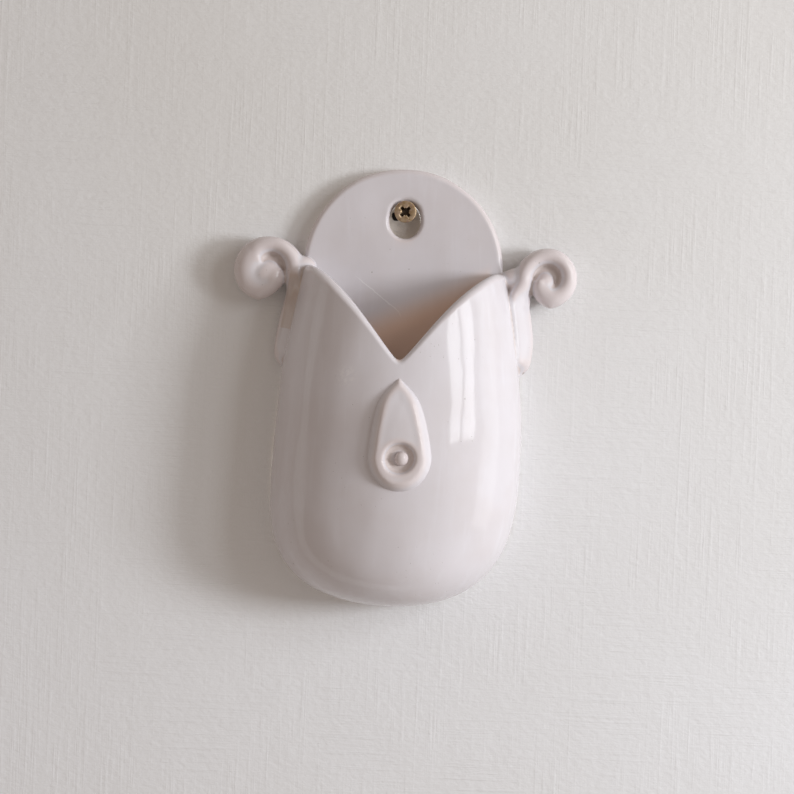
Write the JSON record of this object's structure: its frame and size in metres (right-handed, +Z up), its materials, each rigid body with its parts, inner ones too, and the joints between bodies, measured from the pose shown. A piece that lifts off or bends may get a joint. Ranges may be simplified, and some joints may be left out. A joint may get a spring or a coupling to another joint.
{
  "type": "hanging wall vase",
  "caption": "Glazed ceramic wall pocket vase with an arched back plate, V-notched mouth, rolled side scrolls and a raised teardrop, lifted off its wall screw.",
  "frame": {"origin": "on the hanging screw's axis, where the axis meets the wall's face", "axes": "+Y points straight into the wall along the screw and its plug, the vase's front faces -Y, +Z is up and +X is to the right for someone who looks at the front"},
  "size_m": [0.1396, 0.0828, 0.1769],
  "materials": {
    "glazed_clay": "high-gloss white glaze with a faint pink cast",
    "yellow_zinc": "yellow-passivated zinc plating, semi-gloss",
    "nylon": "plain grey moulded nylon"
  },
  "bodies": {
    "wall_fixing": {"hanging_screw": "yellow_zinc", "wall_plug": "nylon"},
    "vase": {"back_plate": "glazed_clay", "front_shell": "glazed_clay", "left_scroll": "glazed_clay", "right_scroll": "glazed_clay", "teardrop": "glazed_clay", "bead": "glazed_clay"}
  },
  "joints": [
    {"name": "lift_off", "type": "slide", "parent": "wall_fixing", "child": "vase", "axis": [0, -0.766, 0.6428], "range_m": [0, 0.06]}
  ]
}
